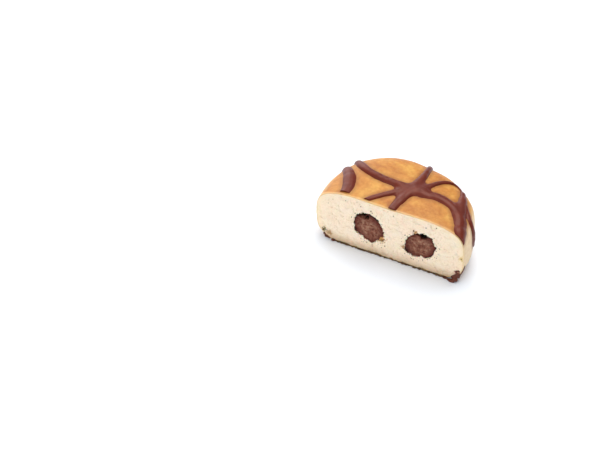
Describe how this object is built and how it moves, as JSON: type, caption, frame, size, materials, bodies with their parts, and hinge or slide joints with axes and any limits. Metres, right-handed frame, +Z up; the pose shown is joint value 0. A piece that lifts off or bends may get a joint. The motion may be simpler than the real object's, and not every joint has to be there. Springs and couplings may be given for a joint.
{
  "type": "half of a filled doughnut",
  "caption": "Half of a round filled yeast doughnut, cut straight through, with pockets of chocolate cream at the cut and a chocolate drizzle over its golden crust.",
  "frame": {"origin": "under the middle of the bounding box, on the surface that the doughnut stands on", "axes": "+X along the cut face, to the right when it is seen from the front; -Y out of the cut face; +Z up"},
  "size_m": [0.0866, 0.052, 0.039],
  "materials": {
    "dough": "fried golden crust, satin, with pale fine-pored crumb at the cut",
    "chocolate_cream": "grainy set chocolate cream, torn by the knife",
    "chocolate": "set milk chocolate, soft satin shine"
  },
  "bodies": {
    "root": {"dough": "dough", "filling_left": "chocolate_cream", "filling_right": "chocolate_cream", "chocolate_drizzle": "chocolate", "chocolate_arc": "chocolate", "chocolate_foot_left": "chocolate", "chocolate_foot_right": "chocolate"}
  },
  "joints": []
}
